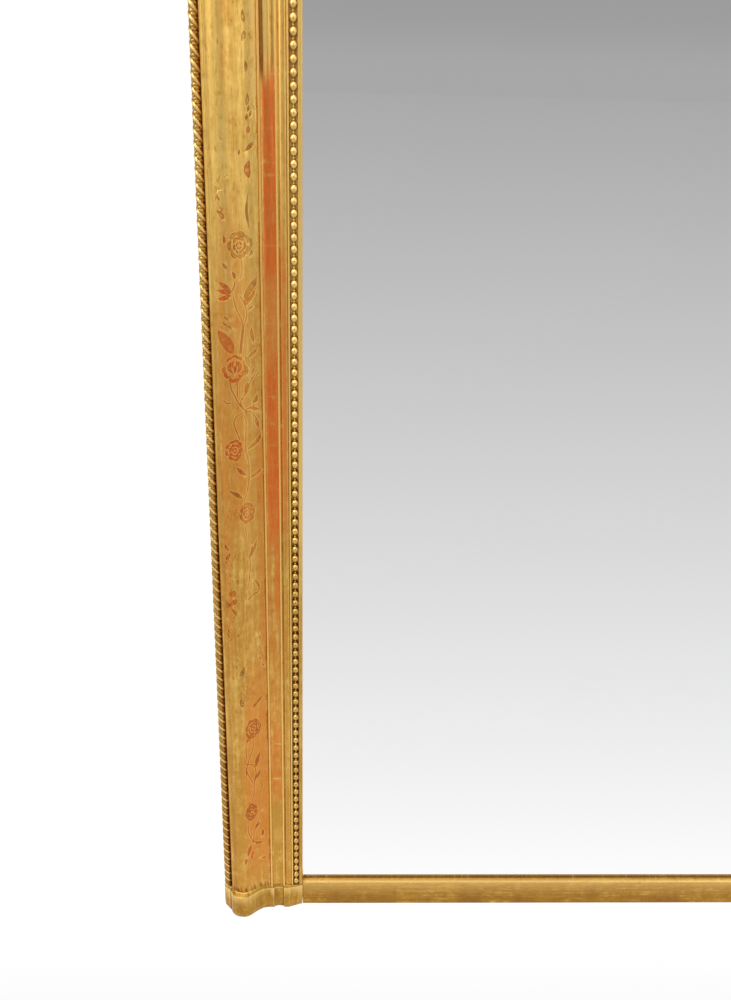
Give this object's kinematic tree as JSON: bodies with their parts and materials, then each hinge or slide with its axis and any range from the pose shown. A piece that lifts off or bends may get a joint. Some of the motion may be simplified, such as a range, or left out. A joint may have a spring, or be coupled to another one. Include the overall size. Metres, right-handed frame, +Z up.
{
  "type": "trumeau mirror",
  "caption": "Tall wall mirror in a wide gilt ogee frame with round upper shoulders, rope-twist and bead edges, small plinths and a plain bottom rail.",
  "frame": {"origin": "middle of the underside of the mirror's bounding box: centre of its width and depth, at the foot of the plinths", "axes": "+X to the viewer's right, +Y from the glass back to the wall (the mirror faces -Y), +Z up"},
  "size_m": [1.22, 0.0654, 1.8298],
  "materials": {
    "gilt_moulding": "burnished water gilding over orange-red bole on gessoed pine, etched with a flowering vine",
    "gilt_inner": "water gilding rubbed thin over red bole on gessoed pine",
    "gilt_ornament": "gilded composition ornament, dark red in the recesses",
    "silvered_glass": "plain silvered plate",
    "carcass_pine": "old planed pine, edges washed with ochre",
    "board_pine": "rough old pine, darkened",
    "hanger_brass": "plain brass, dulled",
    "screw_steel": "slotted steel screw, darkened"
  },
  "bodies": {
    "root": {"back_board_1": "board_pine", "back_board_2": "board_pine", "back_board_3": "board_pine", "back_board_4": "board_pine", "bead_run_left": "gilt_ornament", "bead_run_right": "gilt_ornament", "bead_run_shoulder_left": "gilt_ornament", "bead_run_shoulder_right": "gilt_ornament", "bead_run_top": "gilt_ornament", "board_screw_bottom_1": "screw_steel", "board_screw_bottom_2": "screw_steel", "board_screw_bottom_3": "screw_steel", "board_screw_bottom_4": "screw_steel", "board_screw_top_1": "screw_steel", "board_screw_top_2": "screw_steel", "board_screw_top_3": "screw_steel", "board_screw_top_4": "screw_steel", "bottom_rail_gilt": "gilt_moulding", "carcass_bottom_rail": "carcass_pine", "carcass_shoulder_left": "carcass_pine", "carcass_shoulder_right": "carcass_pine", "carcass_stile_left": "carcass_pine", "carcass_stile_right": "carcass_pine", "carcass_top_rail": "carcass_pine", "glue_block_bottom_left": "board_pine", "glue_block_bottom_right": "board_pine", "glue_block_left_1": "board_pine", "glue_block_left_2": "board_pine", "glue_block_left_3": "board_pine", "glue_block_right_1": "board_pine", "glue_block_right_2": "board_pine", "glue_block_right_3": "board_pine", "glue_block_top_left": "board_pine", "glue_block_top_right": "board_pine", "inner_moulding_left": "gilt_inner", "inner_moulding_right": "gilt_inner", "inner_moulding_shoulder_left": "gilt_inner", "inner_moulding_shoulder_right": "gilt_inner", "inner_moulding_top": "gilt_inner", "keyhole_plate_left": "hanger_brass", "keyhole_plate_right": "hanger_brass", "mirror_plate": "silvered_glass", "ogee_moulding_left": "gilt_moulding", "ogee_moulding_right": "gilt_moulding", "ogee_moulding_shoulder_left": "gilt_moulding", "ogee_moulding_shoulder_right": "gilt_moulding", "ogee_moulding_top": "gilt_moulding", "plate_screw_left_lower": "screw_steel", "plate_screw_left_upper": "screw_steel", "plate_screw_right_lower": "screw_steel", "plate_screw_right_upper": "screw_steel", "plinth_left": "gilt_moulding", "plinth_right": "gilt_moulding", "rope_twist_left": "gilt_ornament", "rope_twist_right": "gilt_ornament", "rope_twist_shoulder_left": "gilt_ornament", "rope_twist_shoulder_right": "gilt_ornament", "rope_twist_top": "gilt_ornament"}
  },
  "joints": []
}
